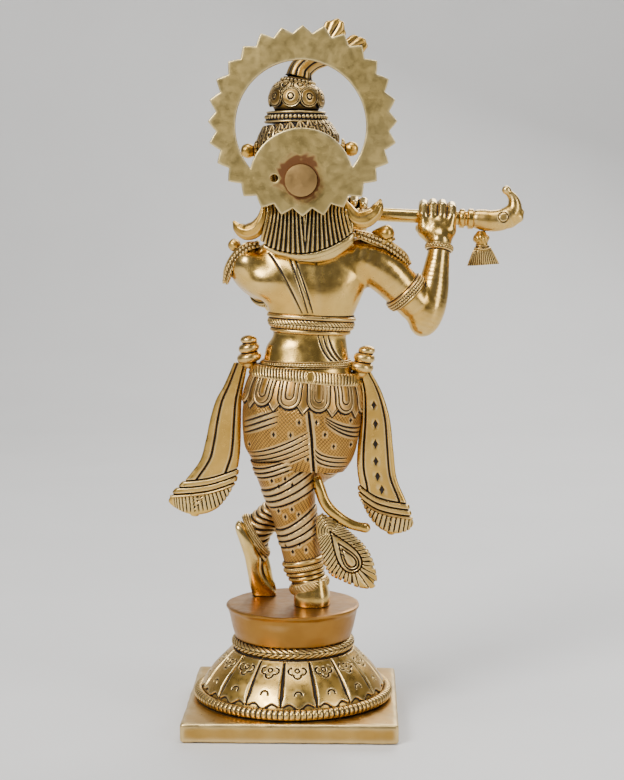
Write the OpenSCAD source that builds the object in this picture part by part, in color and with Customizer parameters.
// Cast brass flute player on a lotus pedestal, with a lift-off halo and a flute that slides out of the hands.
// Millimetres, +Z up, the face looks along -Y, the origin is the centre of the underside of the base plate.
// The figure itself is measured from the top of the drum it stands on; stand() lifts it there.

/* [Base plate] */
// Side of the square plate
plate_side = 94; // [90:1:110]
// Thickness of the plate
plate_h = 9; // [6:0.5:14]
// Radius of the round hole under the hollow pedestal
plate_hole_r = 30; // [24:0.5:34]

/* [Lotus pedestal] */
// Radius of the lotus dome at its foot
dome_r = 41; // [39:0.5:43]
// Height of the lotus dome
dome_h = 22.5; // [18:0.5:30]
// Wall thickness of the hollow castings
wall = 3; // [2:0.25:4]
// Number of lotus petals round the dome
petal_count = 16; // [12:1:20]
// Number of beads in the rim ring
rim_bead_count = 56; // [40:1:64]

/* [Drum] */
// Radius of the drum at its foot
drum_foot_r = 25.8; // [25:0.1:26.5]
// Radius of the drum at its top
drum_top_r = 30; // [28:0.1:34]
// Height of the drum
drum_h = 15.5; // [12:0.5:20]

/* [Halo] */
// Radius to the tips of the saw teeth
halo_tip_r = 40.7; // [38:0.1:44]
// Height of the saw teeth
tooth_h = 3.5; // [2:0.1:5]
// Number of saw teeth
tooth_count = 28; // [20:1:40]
// Thickness of the halo plate
halo_t = 3; // [2:0.25:4]
// Radius of the stud that carries the halo
stud_r = 6.8; // [5:0.1:8]

/* [Flute] */
// Radius of the flute
flute_r = 3.05; // [2.6:0.05:3.1]
// Number of finger holes
finger_hole_count = 6; // [4:1:7]

/* [Hidden] */
// The sub-part to draw, or "all" for the whole statuette

$fn = 64;
brass = [0.78, 0.64, 0.32];
pale_brass = [0.86, 0.76, 0.48];
dark_brass = [0.55, 0.42, 0.2];

X = [1, 0, 0];
Z = [0, 0, 1];

collar_r = 2.3;
dome_top_z = plate_h + dome_h;
drum_foot_z = dome_top_z + 4;
drum_top_z = drum_foot_z + drum_h;
skin_gap = 0.12;   // how far an applied band stands clear of the limb it goes round

// Each station is [x, y, z, half width, half depth], measured from the top of the drum. Sections stand square
// to the path. A sixth value sets them by the vertical instead: it is their lean towards +X in degrees.
hips_path = [[-2.4, 1, 62, 20.5, 15.5], [-3, 1, 68, 24, 18], [-3.4, 1.2, 75, 25.6, 19.3],
             [-4, 1.2, 86, 26.4, 19.5], [-5, 1, 97, 25, 18], [-5.9, 0.8, 106, 21.4, 15.2]];
torso_path = [[-5.6, 0.8, 103, 21, 15, 0], [-6, 0.5, 109, 19, 13.4, 0], [-6.2, 0, 115.5, 17.8, 12.3, 0],
              [-7.6, 0, 121, 16.2, 11.6, 0], [-8.4, 0, 129.5, 18.6, 12.8, 0],
              [-9, 0, 139, 22, 14.2, 0], [-7.6, 0, 147, 26.5, 13.6, 0], [-6.8, 0, 153.5, 27, 11.8, 0],
              [-6, 0.3, 158.5, 22, 9.8, 0], [-5.6, 0.5, 162, 15.5, 8.4, 0], [-5, 0.5, 165, 9, 7.2, 0]];
waist_end = 3;     // station of torso_path where the waist meets the chest
standing_path = [[4.5, 2, 67, 14.6, 15.5], [3.1, 1.5, 58, 12.6, 14.5], [0.1, 1, 44.3, 10.4, 12],
                 [-2.3, 1, 32.4, 9.3, 10.5], [-4.6, 1.5, 19, 8.2, 8.8], [-7, 2, 10, 7.1, 7.4],
                 [-8.4, 2, 4.5, 6.6, 7]];
standing_foot_path = [[-8.5, 12, 4.2, 6.2, 3.6], [-8.5, 9.6, 4.4, 7.8, 4.2], [-8.5, 0, 5.1, 7.8, 5],
                      [-9, -8, 3.7, 7.9, 3.6], [-9.3, -15, 2.4, 8, 2.3], [-9.3, -19, 1.8, 6.4, 1.6]];
thigh_path = [[-16, -2, 71, 11.5, 13], [-11.5, -9.5, 65.5, 10.8, 12], [-6.5, -16.5, 59.5, 9.8, 10.6],
              [-2, -20, 53, 8.8, 9.2]];
shin_path = [[-3.4, -18.5, 56, 6, 6.4, -20], [-1.6, -20, 50.6, 9, 9.4, -30], [2.6, -20, 43.6, 9, 9, -45],
             [8.2, -17.6, 37.6, 7.4, 8, -66], [12.1, -15.2, 35.2, 6.9, 7.4, -68],
             [14.8, -13.4, 32.1, 7.4, 6.8, -64], [18.1, -11.8, 25.7, 11, 6.2, -63]];
crossed_foot_path = [[13.6, -13, -0.5, 5.2, 2.4, 0], [13.8, -12.9, 1.6, 5.5, 3, 0], [15, -12, 5.5, 5, 4.2, 0],
                     [16.4, -11.2, 9.5, 4.4, 4.8, 0], [17.4, -10.6, 13.7, 4.2, 5, 0],
                     [17.8, -10, 18.4, 4.5, 5.2, 0], [19.4, -9.6, 22, 3.9, 5.2, 0], [21.4, -9.2, 27, 3.5, 5, 0],
                     [23.8, -9, 32, 2.7, 4.2, 0], [24.6, -9, 35.2, 1, 1.6, 0]];
neck_path = [[-5, 0.5, 158, 7.4, 7.4], [-4.4, 0, 166, 6.6, 7], [-4, -0.5, 174, 6.8, 7.4]];
head_path = [[-3.5, -9, 169, 3.4, 3], [-3.5, -5.8, 172.2, 8.2, 9.4], [-3.5, -3.4, 177.4, 11, 12.4],
             [-3.5, -2.3, 183, 12.7, 13.8], [-3.5, -1.6, 190, 13.4, 14.6], [-3.5, -1.2, 197, 13.4, 14.4]];
hair_path = [[-6.6, 13.4, 153.4, 5, 1.8], [-6.8, 13.2, 156, 13, 3.2], [-6.8, 12.8, 160.4, 19.2, 4],
             [-6.8, 12.2, 165.4, 20.2, 4.8], [-6.2, 11.4, 171, 19, 5.8], [-5, 10, 178, 16.6, 6.8],
             [-4, 8.6, 186, 14.8, 7.6], [-3.5, 7, 197, 13.2, 7.4]];
cap_path = [[-3.5, -1.2, 197, 15.6, 16], [-2.9, -1, 201, 17, 17], [-2.2, -0.8, 206, 17.6, 17],
            [-1.8, -0.8, 210.5, 15.4, 15], [-1.6, -0.8, 213, 13.6, 13.4]];
lower_beads_path = [[-1.6, -0.8, 213, 13.8, 13.6], [-1.6, -0.8, 218, 12.6, 12.4]];
bulb_path = [[-1.6, -0.8, 218, 9.6, 9.4], [-1.7, -0.8, 222.2, 11.4, 11.2], [-1.9, -0.9, 227, 10.2, 10],
             [-2.2, -1, 229.6, 7, 7]];
upper_beads_path = [[-2.2, -1, 229.6, 8, 8], [-2.6, -1, 232.4, 6.8, 6.8]];
plume_path = [[-2.6, -1, 232.4, 5.8, 5.4], [-4, -1.6, 236.4, 5.2, 4.8], [-9, -2.2, 240.4, 4.8, 4.2],
              [-15.5, -2.4, 242, 4.2, 3.6], [-21, -2.4, 240.6, 2.6, 2.4], [-23, -2.4, 238.6, 1, 1]];
feather_paths = [
    [[-11, -4, 241.5, 1.6, 1.2], [-14, -4.6, 247, 2.6, 1.4], [-18.4, -5, 253.6, 5, 1.4],
     [-20.4, -5, 256.8, 2, 1]],
    [[-15, -4, 239.6, 1.6, 1.2], [-20, -4.4, 242.6, 2.4, 1.4], [-27.5, -4.8, 246.2, 5, 1.4],
     [-31.4, -4.8, 247.6, 2, 1]]
];
upper_right_path = [[-20, 1, 155.6, 6.6, 6.8], [-30, 0.4, 154.2, 8.6, 8.8], [-40, -0.6, 148.6, 9.4, 9.4],
                    [-49, -2.2, 140, 8.7, 8.7], [-56, -4, 132.2, 8, 7.8], [-59, -4.6, 127, 4.8, 4.8]];
forearm_right_path = [[-56.4, -3.6, 122.6, 2.6, 2.8], [-57.8, -3.9, 126.4, 6.6, 6.8],
                      [-59.6, -4.6, 132.4, 7.9, 7.9], [-61.8, -6.2, 140, 7, 7.2], [-63.4, -8.6, 149, 5.6, 6],
                      [-64.6, -10.8, 157, 4.7, 5], [-64.8, -11.8, 160.6, 4.8, 5]];
upper_left_path = [[19, 5.4, 152.2, 3.6, 3.6], [18.8, 2.6, 151.4, 7.6, 7.6], [18.6, -2, 149.4, 9, 9],
                   [17, -9, 145.8, 8.6, 8.6], [13.4, -15.6, 142, 8.1, 8.1], [9.2, -20.4, 138.4, 7.7, 7.7],
                   [5.4, -23.8, 135.2, 7.2, 7.2], [2.6, -25.8, 133.2, 4.4, 4.4]];
forearm_left_path = [[8.5, -22.6, 133.6, 5.6, 6], [4, -24.6, 136.4, 7.3, 7.3], [-3, -28, 143.6, 6.6, 6.6],
                     [-10, -30.4, 152, 5.4, 5.4], [-15.6, -30.6, 159.4, 4.6, 4.8],
                     [-17.6, -30, 162.4, 4.6, 4.8]];
curl_right_path = [[-23, 10, 179.8, 0.7, 0.6], [-24.1, 10.5, 176.7, 2.2, 2.1], [-26.9, 10.5, 172.4, 3, 3.4],
                   [-31.1, 10, 171.5, 3.4, 4.1], [-35.2, 9, 173.5, 3, 3.4], [-37.4, 8.5, 176.7, 2.4, 2.5],
                   [-38.3, 8, 179.4, 0.8, 0.8]];
curl_left_path = [[25.1, 7, 170, 0.8, 0.8], [23.3, 7.5, 167.6, 2.3, 2.4], [19.7, 8.5, 165.9, 3.2, 3.6],
                  [15.7, 9.8, 167.2, 3.2, 3.6], [13, 11, 171.1, 2.5, 2.6], [12.1, 11.4, 175, 1.6, 1.6],
                  [12.1, 11.4, 177.6, 0.9, 0.9]];
epaulette_right_path = [[-27.4, 5.6, 165.4, 2.2, 1.4], [-31.9, 4.6, 164, 3.2, 2.1], [-40.7, 2, 160.4, 3.8, 2.4],
                        [-47.9, -0.6, 155.4, 3.6, 2.3], [-50.4, -1.4, 152.6, 2, 1.2]];
epaulette_left_path = [[16.2, 5.4, 160.2, 2.2, 1.4], [19.8, 4.6, 159, 3.4, 2.2], [24.4, 2.6, 155, 3.8, 2.4],
                       [27.6, 0.6, 149.4, 3.8, 2.4], [29.2, -1, 144.8, 2.4, 1.4]];
sash_left_path = [[23, -1, 108, 3.2, 2, 0], [26.2, -1.3, 98, 4.4, 2, 0], [28.6, -1.6, 91, 5.8, 2, 0],
                  [30.1, -2, 82, 7, 1.9, 0], [31.2, -2.3, 73, 7.9, 1.9, 2], [32.8, -2.6, 65.2, 9.2, 1.9, 10],
                  [36.6, -3, 57.8, 12.4, 1.8, 15], [39.6, -3.2, 52, 13.8, 1.8, 10],
                  [42.2, -3.4, 47.2, 13.9, 1.7, 7], [43.6, -3.6, 42.8, 10.4, 1.6, 0],
                  [44.3, -3.6, 40.3, 6.2, 1.4, -3], [44.3, -3.6, 39.2, 2, 1, -3]];
sash_right_path = [[-31.4, -1, 104.4, 3, 2, 0], [-34.8, -1.5, 95, 4.6, 2, 0], [-36.5, -2, 83, 6.6, 1.9, 0],
                   [-36.7, -2.4, 69.5, 8, 1.9, -2], [-37.4, -2.8, 58.6, 9.2, 1.9, -15],
                   [-40.1, -3, 49.6, 11.6, 1.8, -23], [-41.1, -3.2, 44.4, 12.3, 1.8, -23],
                   [-42.7, -3.4, 39.4, 11.8, 1.7, -18], [-43.4, -3.6, 34.8, 8.8, 1.6, -15],
                   [-43.5, -3.6, 32.2, 4.8, 1.4, -12], [-43.7, -3.6, 31.3, 1.8, 1, -12]];
tail_path = [[-10.4, 5, 58, 2, 1.8], [-14, 6, 47.4, 2.2, 1.8], [-20.4, 6.4, 40, 2.1, 1.7],
             [-27, 6.2, 36.6, 1.9, 1.6], [-32.2, 5.6, 35.4, 1.5, 1.4]];
feather_path = [[-12, 7, 41, 1.4, 1, 36], [-15.5, 7.8, 34.5, 5.6, 1.5, 38], [-21.8, 8.4, 25, 9.3, 1.8, 36],
                [-25.6, 8.6, 19.5, 9.8, 1.8, 29], [-29.4, 8.4, 14.1, 7.7, 1.6, 15],
                [-32.8, 8.2, 10.2, 4.5, 1.4, 10], [-34.3, 8, 8.7, 1.4, 1, 5]];
pleat_path = [[-6.4, -16.5, 100, 5, 2.4], [-6, -19.5, 86, 6, 2.6], [-5.4, -24.5, 72, 7.2, 2.4],
              [-4, -29, 61, 8.2, 2.2], [-2.6, -31, 48, 9, 1.8]];

halo_centre = [-5, 213];
halo_opening_centre = [-4.2, 210.9];
halo_opening_r = 27.8;
stud_centre = [-4.5, 188];
halo_disc_r = 22.4;
halo_front_y = 18;
stud_end_y = 26.5;
stud_fit = 0.06;
hand_clearance = 0.25;

mouth = [-3.5, -20.6, 174.8];
flute_slope = 2.8;
flute_open_end = -14;
flute_shoulder = 70.5;
left_grip = 21;
right_grip = 60.5;

// ---- Shape helpers ----

function unit(v) = v / norm(v);

// Catmull-Rom value of a list of stations at position t, from 0 to the last index
function spline(list, t) =
    let (
        last = len(list) - 1,
        i = min(floor(t), last - 1),
        f = t - i,
        a = list[max(i - 1, 0)],
        b = list[i],
        c = list[i + 1],
        d = list[min(i + 2, last)]
    )
    0.5 * (2 * b + (c - a) * f + (2 * a - 5 * b + 4 * c - d) * f * f + (3 * b - a - 3 * c + d) * f * f * f);

function centre(path, t) = let (s = spline(path, t)) [s[0], s[1], s[2]];

function travel(path, t) = unit(centre(path, min(t + 0.05, len(path) - 1)) - centre(path, max(t - 0.05, 0)));

// The way a ring faces: along the limb, or tipped by its station's sixth value from straight up
function heading(path, t) =
    len(path[0]) < 6 ? travel(path, t) :
    let (
        lean = spline(path, t)[5],
        up = [sin(lean), 0, cos(lean)]
    )
    travel(path, t) * up < 0 ? -up : up;

// A point of the limb's surface at position t and angle a, standing off by lift
function surface_point(path, t, a, side, lift) =
    let (
        s = spline(path, t),
        dir = heading(path, t),
        u = unit(side - (side * dir) * dir),
        v = cross(dir, u)
    )
    [s[0], s[1], s[2]] + (s[3] + lift) * cos(a) * u + (s[4] + lift) * sin(a) * v;

function ring(path, t, side, lift, n) =
    [for (k = [0 : n - 1]) surface_point(path, t, 360 * k / n, side, lift)];

function steps(from, to, count) = [for (i = [0 : count]) from + (to - from) * i / count];

// Closes a row of rings into a solid; closed joins the last ring to the first instead of capping both
module skin(rings, closed = false) {
    n = len(rings[0]);
    rows = len(rings);
    strips = closed ? rows : rows - 1;
    sides = [for (i = [0 : strips - 1], k = [0 : n - 1])
        let (
            a = i * n + k,
            b = i * n + (k + 1) % n,
            c = ((i + 1) % rows) * n + (k + 1) % n,
            d = ((i + 1) % rows) * n + k
        )
        each [[a, d, c], [a, c, b]]];
    caps = closed ? [] : [
        [for (k = [0 : n - 1]) k],
        [for (k = [n - 1 : -1 : 0]) (rows - 1) * n + k]
    ];
    polyhedron(points = [for (r = rings) each r], faces = concat(sides, caps), convexity = 6);
}

module limb(path, side = X, n = 16, from = 0, to = -1, per_station = 2) {
    last = to < 0 ? len(path) - 1 : to;
    count = ceil((last - from) * per_station);
    skin([for (t = steps(from, last, count)) ring(path, t, side, 0, n)]);
}

// A band round a limb. profile lists [position along the band from 0 to 1, height above the limb]
module band(path, from, to, profile, side = X, n = 16) {
    outer = [for (p = profile) ring(path, from + (to - from) * p[0], side, p[1], n)];
    inner = [for (p = [1, 0.5, 0]) ring(path, from + (to - from) * p, side, skin_gap, n)];
    skin(concat(outer, inner), closed = true);
}

// A shallow plate lying on a limb. spans lists [position, half angle] down the plate
module patch(path, angle, spans, thickness, gap = skin_gap, side = X) {
    skin([for (s = spans) concat(
        [for (a = steps(angle - s[1], angle + s[1], 3)) surface_point(path, s[0], a, side, thickness)],
        [for (a = steps(angle + s[1], angle - s[1], 3)) surface_point(path, s[0], a, side, gap)]
    )]);
}

// A ring of round section whose thickness swells and shrinks bumps times round the circle
module bumpy_ring(radius, thickness, bumps, depth, per_bump = 2, n = 8, slant = 0) {
    skin([for (i = [0 : bumps * per_bump - 1])
        let (
            turn = 360 * i / (bumps * per_bump),
            out = [cos(turn), sin(turn), 0],
            t = thickness * (1 - depth * (i % per_bump == 0 ? 1 : 0))
        )
        [for (k = [0 : n - 1])
            let (a = -360 * k / n)
            (radius + t * cos(a)) * [cos(turn + slant * sin(a)), sin(turn + slant * sin(a)), 0]
                + [0, 0, t * sin(a)]]], closed = true);
}

module stand() {
    translate([0, 0, drum_top_z]) children();
}

// Puts children on the flute with +Z along it towards its far end, s millimetres from the mouth
module on_flute(s) {
    translate(mouth) rotate([0, -90 - flute_slope, 0]) translate([0, 0, s]) children();
}

module rod(a, b, ra, rb, n = 9) {
    hull() {
        translate(a) sphere(ra, $fn = n);
        translate(b) sphere(rb, $fn = n);
    }
}

bead_profile = [[0, 0.3], [0.15, 1.2], [0.35, 1.2], [0.5, 0.7], [0.65, 1.2], [0.85, 1.2], [1, 0.3]];
braid_profile = [[0, 0.5], [0.08, 1.4], [0.28, 1.4], [0.36, 0.9], [0.5, 1.9], [0.64, 0.9], [0.72, 1.4],
                 [0.92, 1.4], [1, 0.5]];
round_profile = [[0, 0.3], [0.2, 1.5], [0.5, 2.1], [0.8, 1.5], [1, 0.3]];

// ---- Pedestal ----

module base_plate() {
    color(pale_brass) difference() {
        translate([-plate_side / 2, -plate_side / 2, 0]) cube([plate_side, plate_side, plate_h]);
        translate([0, 0, -1]) cylinder(h = plate_h + 2, r = plate_hole_r);
    }
}

// Stations from the foot of the dome to its neck, as [radius, height above the plate]
dome_profile = [[dome_r, 0], [dome_r, 4], [dome_r - 2, 8], [dome_r - 5.6, 13], [dome_r - 10, 17.5],
                [dome_r - 13.4, dome_h - 1.5], [dome_r - 14.6, dome_h]];
dome_path = [for (p = dome_profile) [0, 0, plate_h + p[1], p[0], p[0]]];

module lotus_dome() {
    outer = dome_profile;
    inner = [for (i = [len(outer) - 1 : -1 : 0]) [outer[i][0] - wall * 1.2, outer[i][1]]];
    color(brass) translate([0, 0, plate_h]) rotate_extrude() polygon(concat(outer, inner));
}

module lotus_petals() {
    half = 150 / petal_count;
    spans = [[1.6, half * 0.25], [2, half * 0.85], [2.6, half], [3.4, half], [4.2, half * 0.95],
             [5.1, half * 0.8]];
    color(brass) for (k = [0 : petal_count - 1]) {
        patch(dome_path, 360 * (k + 0.5) / petal_count, spans, 1.1, gap = 0.3);
    }
}

module rim_beads() {
    color(brass) difference() {
        translate([0, 0, plate_h + 2.5]) bumpy_ring(dome_r + 1.4, 2.4, rim_bead_count, 0.3, n = 7);
        translate([0, 0, plate_h]) rotate_extrude() polygon(concat(dome_profile, [[0, dome_h], [0, 0]]));
    }
}

module braid_collar() {
    color(brass) translate([0, 0, dome_top_z + collar_r]) {
        bumpy_ring(drum_foot_r - 0.4, collar_r, 36, 0.22, slant = 4);
    }
}

module pedestal_drum() {
    color(brass) translate([0, 0, dome_top_z]) rotate_extrude() polygon([
        [drum_foot_r - 3.2 - wall, 0], [drum_foot_r - 3.2, 0], [drum_foot_r - 3.2, 2 * collar_r + 0.1],
        [drum_foot_r, 2 * collar_r + 0.1], [drum_foot_r + 0.4, 2 * collar_r + 0.6],
        [drum_top_r - 0.4, drum_h + 2.6], [drum_top_r, drum_h + 3.4], [drum_top_r - 0.3, drum_h + 4],
        [0, drum_h + 4], [0, drum_h], [drum_foot_r - 3.2 - wall, drum_h - 3]
    ]);
}

// ---- Legs ----

module standing_leg_solid() {
    limb(standing_path, n = 18);
}

module standing_foot_solid() {
    limb(standing_foot_path, n = 14);
}

module standing_foot() {
    color(pale_brass) stand() difference() {
        standing_foot_solid();
        standing_leg_solid();
        translate([-30, -30, -4]) cube([60, 60, 4]);
    }
}

module standing_leg() {
    color(brass) stand() difference() {
        standing_leg_solid();
        limb(hips_path, n = 24);
    }
}

module anklet_bands() {
    band(standing_path, 3.9, 4.76, braid_profile, n = 18);
    band(standing_path, 4.86, 5.5, round_profile, n = 18);
}

module standing_anklets() {
    color(brass) stand() difference() {
        anklet_bands();
        standing_foot_solid();
    }
}

module crossed_thigh() {
    color(brass) stand() difference() {
        limb(thigh_path, n = 16);
        limb(hips_path, n = 24);
        standing_leg_solid();
    }
}

module crossed_shin() {
    color(brass) stand() difference() {
        limb(shin_path, side = Z, n = 16);
        limb(thigh_path, n = 16);
        standing_leg_solid();
    }
}

module crossed_foot() {
    color(pale_brass) stand() difference() {
        limb(crossed_foot_path, n = 14);
        limb(shin_path, side = Z, n = 16);
        translate([0, -30, -4]) cube([30, 40, 4]);
    }
}

module crossed_anklet() {
    color(brass) stand() difference() {
        band(shin_path, 5.3, 5.95, braid_profile, side = Z, n = 16);
        limb(crossed_foot_path, n = 14);
    }
}

// ---- Hips, waist and belts ----

module hips() {
    color(brass) stand() difference() {
        limb(hips_path, n = 24, to = 5);
        limb(torso_path, n = 24, to = waist_end);
    }
}

module front_pleats() {
    color(brass) stand() difference() {
        limb(pleat_path, n = 10);
        girdled_hips();
        standing_leg_solid();
        limb(thigh_path, n = 16);
        limb(shin_path, side = Z, n = 16);
    }
}

module waist() {
    color(pale_brass) stand() limb(torso_path, n = 24, to = waist_end);
}

module ribbed_belt() {
    color(brass) stand() ribbed_belt_solid();
}

module bead_belt() {
    color(brass) stand() difference() {
        bead_belt_solid();
        limb(hips_path, n = 24);
        ribbed_belt_solid();
    }
}

pendant_count = 13;

module belt_pendants() {
    spans = [[4.24, 7], [3.8, 9], [3.3, 9], [3.06, 6], [2.96, 2]];
    color(brass) stand() difference() {
        for (k = [0 : pendant_count - 1]) {
            patch(hips_path, 360 * k / pendant_count + 90, spans, 1.3);
        }
        limb(pleat_path, n = 10);
    }
}

// Three stacked coils of a tied sash end, narrowing upwards
module knot(place, r) {
    profile = [for (i = [0 : 24])
        let (f = i / 24, swell = abs(sin(f * 540)))
        [r * (1 - 0.45 * f) * (0.78 + 0.22 * swell), 2 * r * f]];
    translate(place) rotate_extrude($fn = 48) polygon(concat([[0, 0]], profile, [[0, 2 * r]]));
}

module knot_left_solid() {
    knot([18.8, 0.5, 107.5], 6.3);
}

module knot_right_solid() {
    knot([-30, 0.5, 103], 6);
}

module ribbed_belt_solid() {
    band(hips_path, 4.3, 4.95, round_profile, n = 24);
}

module bead_belt_solid() {
    band(torso_path, 0.62, 1.1, bead_profile, n = 24);
}

// The hips and the belts round them, which a knot, sash or pleat is let in against
module girdled_hips() {
    limb(hips_path, n = 24);
    limb(torso_path, n = 24, to = waist_end);
    ribbed_belt_solid();
    bead_belt_solid();
}

module knot_left() {
    color(brass) stand() difference() {
        knot_left_solid();
        girdled_hips();
    }
}

module knot_right() {
    color(brass) stand() difference() {
        knot_right_solid();
        girdled_hips();
    }
}

module sash_left() {
    color(brass) stand() difference() {
        limb(sash_left_path, n = 12, per_station = 1);
        girdled_hips();
        knot_left_solid();
    }
}

module sash_right() {
    color(brass) stand() difference() {
        limb(sash_right_path, n = 12, per_station = 1);
        girdled_hips();
        knot_right_solid();
    }
}

module sash_tail() {
    color(brass) stand() difference() {
        limb(tail_path, n = 10);
        standing_leg_solid();
    }
}

module peacock_feather() {
    color(brass) stand() difference() {
        limb(feather_path, n = 12);
        limb(tail_path, n = 10);
        standing_leg_solid();
        anklet_bands();
    }
}

// ---- Chest, neck and head ----

module chest_solid() {
    limb(torso_path, n = 24, from = waist_end);
}

module chest() {
    color(pale_brass) stand() chest_solid();
}

module chest_band() {
    color(brass) stand() band(torso_path, 3.02, 4.05, braid_profile, n = 24);
}

module neck() {
    color(pale_brass) stand() difference() {
        limb(neck_path, n = 16);
        chest_solid();
    }
}

// The face is symmetrical about x = 0 here and looks along -Y; it is moved into place by head()
module face_features() {
    for (s = [-1, 1]) {
        rod([s * 4.9, -13.3, 188.4], [s * 7.2, -12.1, 188.6], 1.5, 1.2, 10);
        rod([s * 2.6, -14.1, 191.8], [s * 8.4, -11.6, 192], 0.8, 0.6, 8);
        rod([s * 12.7, 0.5, 189.5], [s * 12.3, 1, 182], 2.4, 1.8, 10);
        rod([0, -14.8, 179.4], [s * 3.2, -13.7, 179.6], 0.9, 0.5, 8);
        rod([s * 1.4, -15.2, 182.8], [0, -14.6, 185.2], 1.3, 1, 8);
    }
    rod([0, -14.4, 190.8], [0, -16.4, 183.2], 1.1, 1.5, 10);
    rod([0, -11.6, 171.6], [0, -11.2, 172.8], 3.2, 3.4, 12);
}

module head_solid() {
    limb(head_path, n = 20);
    translate([-3.5, 0, 0]) face_features();
}

module head() {
    color(pale_brass) stand() difference() {
        head_solid();
        limb(neck_path, n = 16);
        on_flute(-20) cylinder(h = 120, r = flute_r + 0.35);
    }
}

module hair_solid() {
    difference() {
        limb(hair_path, n = 20);
        head_solid();
        limb(neck_path, n = 16);
        chest_solid();
        on_stud(8) cylinder(h = 20, r = stud_r + 2.6);
    }
}

module hair() {
    color(dark_brass) stand() hair_solid();
}

// Puts children on the halo's stud with +Z pointing to the back, y millimetres behind the figure's middle
module on_stud(y) {
    translate([stud_centre[0], y, stud_centre[1]]) rotate([-90, 0, 0]) children();
}

module earrings() {
    color(brass) stand() for (side = [-1, 1]) {
        difference() {
            translate([-3.5 + side * 14.8, 0.5, 177]) rotate([0, 90 * side, 0]) {
                cylinder(h = 1.4, r = 3.6, $fn = 32);
                translate([0, 0, 0.9]) sphere(1.8, $fn = 24);
            }
            limb(head_path, n = 20);
            limb(hair_path, n = 20);
        }
    }
}

module necklace() {
    color(brass) stand() difference() {
        union() {
            band(torso_path, 9.2, 9.9, bead_profile, n = 24);
            for (k = [-2 : 2]) {
                translate([-6 + 4.6 * k, -12.2, 149 + 1.1 * k * k]) sphere(2.3, $fn = 20);
            }
        }
        chest_solid();
        limb(hair_path, n = 20);
        limb(neck_path, n = 16);
    }
}

// ---- Crown ----

module crown_cap() {
    color(brass) stand() difference() {
        limb(cap_path, n = 24);
        limb(hair_path, n = 20);
        limb(head_path, n = 20);
    }
}

module crown_lower_beads() {
    color(brass) stand() difference() {
        limb(lower_beads_path, n = 24);
        limb(cap_path, n = 24);
        limb(bulb_path, n = 24);
    }
}

module crown_bulb() {
    color(brass) stand() limb(bulb_path, n = 24);
}

module crown_upper_beads() {
    color(brass) stand() difference() {
        limb(upper_beads_path, n = 20);
        limb(bulb_path, n = 24);
    }
}

module crown_plume() {
    color(brass) stand() difference() {
        limb(plume_path, n = 14);
        limb(upper_beads_path, n = 20);
    }
}

module crown_feathers() {
    color(brass) stand() for (path = feather_paths) {
        difference() {
            limb(path, n = 12);
            limb(plume_path, n = 14);
        }
    }
}

// A ball with a flat boss behind it, on a short stem let into the cap
module crown_knob(place, out) {
    difference() {
        translate(place) {
            sphere(3.3, $fn = 32);
            rotate([0, -90 * out, 0]) cylinder(h = 8, r = 2, $fn = 24);
            translate([-out * 2.6, 0, 0]) rotate([0, -90 * out, 0]) cylinder(h = 1.6, r = 4.4, $fn = 40);
        }
        limb(cap_path, n = 24);
        limb(hair_path, n = 20);
    }
}

module crown_knobs() {
    color(brass) stand() {
        crown_knob([19.4, 0, 201], 1);
        crown_knob([-25.6, 0, 201.8], -1);
    }
}

// ---- Shoulders and arms ----

module upper_arm_left_solid() {
    limb(upper_left_path, n = 16);
}

module upper_arm_right_solid() {
    limb(upper_right_path, n = 16);
}

module upper_arm_left() {
    color(pale_brass) stand() difference() {
        upper_arm_left_solid();
        chest_solid();
    }
}

module upper_arm_right() {
    color(pale_brass) stand() difference() {
        upper_arm_right_solid();
        chest_solid();
    }
}

module forearm_left() {
    color(pale_brass) stand() difference() {
        limb(forearm_left_path, n = 16);
        upper_arm_left_solid();
        chest_solid();
    }
}

module forearm_right() {
    color(pale_brass) stand() difference() {
        limb(forearm_right_path, n = 16);
        upper_arm_right_solid();
    }
}

module epaulette(path) {
    difference() {
        limb(path, side = [0, 1, 0], n = 14);
        chest_solid();
        upper_arm_left_solid();
        upper_arm_right_solid();
        limb(hair_path, n = 20);
        curl_solid(curl_left_path);
        curl_solid(curl_right_path);
    }
}

module epaulette_left() {
    color(brass) stand() epaulette(epaulette_left_path);
}

module epaulette_right() {
    color(brass) stand() epaulette(epaulette_right_path);
}

module armlet_left() {
    color(brass) stand() difference() {
        band(upper_left_path, 4.1, 4.75, braid_profile, n = 16);
        chest_solid();
        limb(forearm_left_path, n = 16);
    }
}

module armlet_right() {
    color(brass) stand() difference() {
        band(upper_right_path, 2.85, 3.3, braid_profile, n = 16);
        limb(forearm_right_path, n = 16);
    }
}

module bracelet_left() {
    color(brass) stand() band(forearm_left_path, 3.7, 4.7, braid_profile, n = 16);
}

module bracelet_right() {
    color(brass) stand() band(forearm_right_path, 4.75, 5.75, braid_profile, n = 16);
}

module curl_solid(path) {
    limb(path, side = [0, 1, 0], n = 14);
}

module shoulder_curl(path) {
    difference() {
        curl_solid(path);
        limb(hair_path, n = 20);
        chest_solid();
        upper_arm_left_solid();
        upper_arm_right_solid();
    }
}

module shoulder_curl_left() {
    color(brass) stand() shoulder_curl(curl_left_path);
}

module shoulder_curl_right() {
    color(brass) stand() shoulder_curl(curl_right_path);
}

module shoulder_bead(place, r) {
    difference() {
        translate(place) sphere(r, $fn = 24);
        chest_solid();
        upper_arm_left_solid();
        upper_arm_right_solid();
        curl_solid(curl_left_path);
        curl_solid(curl_right_path);
        limb(epaulette_left_path, side = [0, 1, 0], n = 14);
        limb(epaulette_right_path, side = [0, 1, 0], n = 14);
    }
}

module shoulder_beads() {
    color(brass) stand() {
        shoulder_bead([25.4, 2.6, 160], 2.8);
        shoulder_bead([-40.6, 2.6, 165], 4.2);
    }
}

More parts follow.
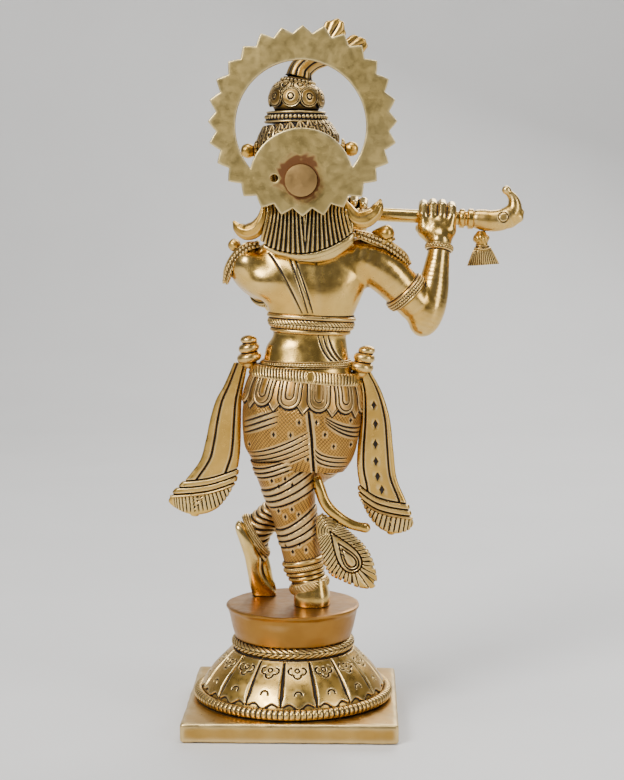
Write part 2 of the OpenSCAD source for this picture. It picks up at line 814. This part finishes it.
// A hand closed round the flute: palm on one side, four fingers over the top.
// away is +1 when the palm is behind the flute, -1 when it is in front
module hand(grip, wrist, away) {
    difference() {
        union() {
            on_flute(grip) for (k = [0 : 3]) {
                s = -6.3 + 4.2 * k;
                rod([0, away * 4.8, s], [4.2, away * 3.6, s], 2.3, 2.2);
                rod([4.2, away * 3.6, s], [5.4, 0, s], 2.2, 2);
                rod([5.4, 0, s], [4.2, -away * 3.6, s], 1.9, 1.6);
                rod([-6.4, away * 5.2, s * 0.8], [0, away * 4.8, s], 2.6, 2.3);
            }
            hull() {
                on_flute(grip - 4.8) translate([-6.4, away * 5.2, 0]) sphere(3, $fn = 9);
                on_flute(grip + 4.8) translate([-6.4, away * 5.2, 0]) sphere(3, $fn = 9);
                translate(wrist) sphere(4.4, $fn = 12);
            }
            on_flute(grip - 7.5) rod([-5, away * 4.6, 3], [-4.4, -away * 1.5, -0.4], 2.2, 1.7);
        }
        on_flute(-30) cylinder(h = 140, r = flute_r + hand_clearance, $fn = 48);
    }
}

module hand_left() {
    color(pale_brass) stand() difference() {
        hand(left_grip, [-17.8, -29.9, 163], -1);
        limb(forearm_left_path, n = 16);
        band(forearm_left_path, 3.7, 4.7, braid_profile, n = 16);
        head_solid();
    }
}

module hand_right() {
    color(pale_brass) stand() difference() {
        hand(right_grip, [-64.8, -11.9, 161.4], 1);
        limb(forearm_right_path, n = 16);
        band(forearm_right_path, 4.75, 5.75, braid_profile, n = 16);
    }
}

// ---- Halo ----

module halo_stud() {
    color(pale_brass) stand() difference() {
        union() {
            on_stud(10) cylinder(h = halo_front_y - 10, r = stud_r + 2.5);
            on_stud(12) cylinder(h = stud_end_y - 12, r = stud_r);
        }
        limb(head_path, n = 20);
        limb(cap_path, n = 24);
    }
}

module halo_outline() {
    points = [for (k = [0 : 2 * tooth_count - 1])
        let (r = k % 2 == 0 ? halo_tip_r : halo_tip_r - tooth_h, a = 180 * k / tooth_count)
        halo_centre + r * [cos(a), sin(a)]];
    polygon(points);
}

module halo_ring() {
    color(pale_brass) stand() difference() {
        translate([0, halo_front_y + halo_t, 0]) rotate([90, 0, 0]) linear_extrude(halo_t) difference() {
            halo_outline();
            difference() {
                translate(halo_opening_centre) circle(halo_opening_r);
                translate(stud_centre) circle(halo_disc_r);
            }
            translate(stud_centre) circle(stud_r + stud_fit);
            translate(stud_centre + [11.5, 1]) circle(1.6);
        }
        on_stud(halo_front_y + halo_t - 0.7) cylinder(h = 2, r = stud_r + 3.4);
    }
}

// ---- Flute ----

finial_path = [[-82.8, -20.6, 170.9, 4.2, 4.2], [-87.5, -20.6, 170.2, 5.4, 4.6],
               [-93.6, -20.6, 171, 5.8, 4.2], [-98.4, -20.6, 175, 4.4, 3.4],
               [-98.2, -20.6, 180, 2.8, 2.5], [-95.4, -20.6, 183.4, 1.6, 1.6]];
tassel_path = [[-84, -20.6, 165.8, 1.6, 1.6], [-84, -20.6, 162.6, 3.6, 3.2], [-84.3, -20.6, 160, 2.6, 2.4],
               [-84.6, -20.6, 156.4, 4.6, 3], [-85, -20.6, 150.6, 7.2, 3]];

module flute_tube() {
    color(pale_brass) stand() difference() {
        on_flute(flute_open_end) cylinder(h = flute_shoulder - flute_open_end, r = flute_r);
        on_flute(flute_open_end) translate([0, 0, -1]) cylinder(h = 9, r = flute_r - 1.1);
        for (k = [0 : finger_hole_count - 1]) {
            on_flute(31 + 3.6 * k) rotate([0, 90, 0]) translate([0, 0, flute_r - 0.8]) {
                cylinder(h = 3, r = 0.8, $fn = 24);
            }
        }
    }
}

module flute_rings() {
    color(brass) stand() on_flute(flute_shoulder) rotate_extrude() polygon([
        [0, 0], [flute_r + 0.9, 0], [flute_r + 1.3, 0.6], [flute_r + 1.3, 2.2], [flute_r + 0.4, 2.8],
        [flute_r + 0.4, 3.6],
        [flute_r + 1.5, 4.2], [flute_r + 1.5, 6.2], [flute_r + 0.6, 6.8], [flute_r + 0.6, 8.8], [0, 8.8]
    ]);
}

module flute_finial() {
    color(brass) stand() difference() {
        union() {
            limb(finial_path, side = [0, 0, 1], n = 14);
            translate([-95, -20.6, 184]) sphere(2, $fn = 20);
        }
        on_flute(flute_shoulder) cylinder(h = 8.8, r = flute_r + 3);
    }
}

module flute_tassel() {
    color(brass) stand() difference() {
        limb(tassel_path, n = 12);
        limb(finial_path, side = [0, 0, 1], n = 14);
        on_flute(flute_shoulder) cylinder(h = 8.8, r = flute_r + 1.6);
    }
}

// ---- Drawing ----

base_plate();
lotus_dome();
lotus_petals();
rim_beads();
braid_collar();
pedestal_drum();
standing_foot();
standing_leg();
standing_anklets();
crossed_thigh();
crossed_shin();
crossed_foot();
crossed_anklet();
hips();
front_pleats();
waist();
chest();
neck();
head();
hair();
crown_cap();
crown_lower_beads();
crown_bulb();
crown_upper_beads();
crown_plume();
crown_feathers();
crown_knobs();
earrings();
necklace();
shoulder_curl_left();
shoulder_curl_right();
shoulder_beads();
epaulette_left();
epaulette_right();
upper_arm_left();
upper_arm_right();
armlet_left();
armlet_right();
forearm_left();
forearm_right();
bracelet_left();
bracelet_right();
hand_left();
hand_right();
chest_band();
bead_belt();
ribbed_belt();
belt_pendants();
knot_left();
knot_right();
sash_left();
sash_right();
sash_tail();
peacock_feather();
halo_stud();
halo_ring();
flute_tube();
flute_rings();
flute_finial();
flute_tassel();
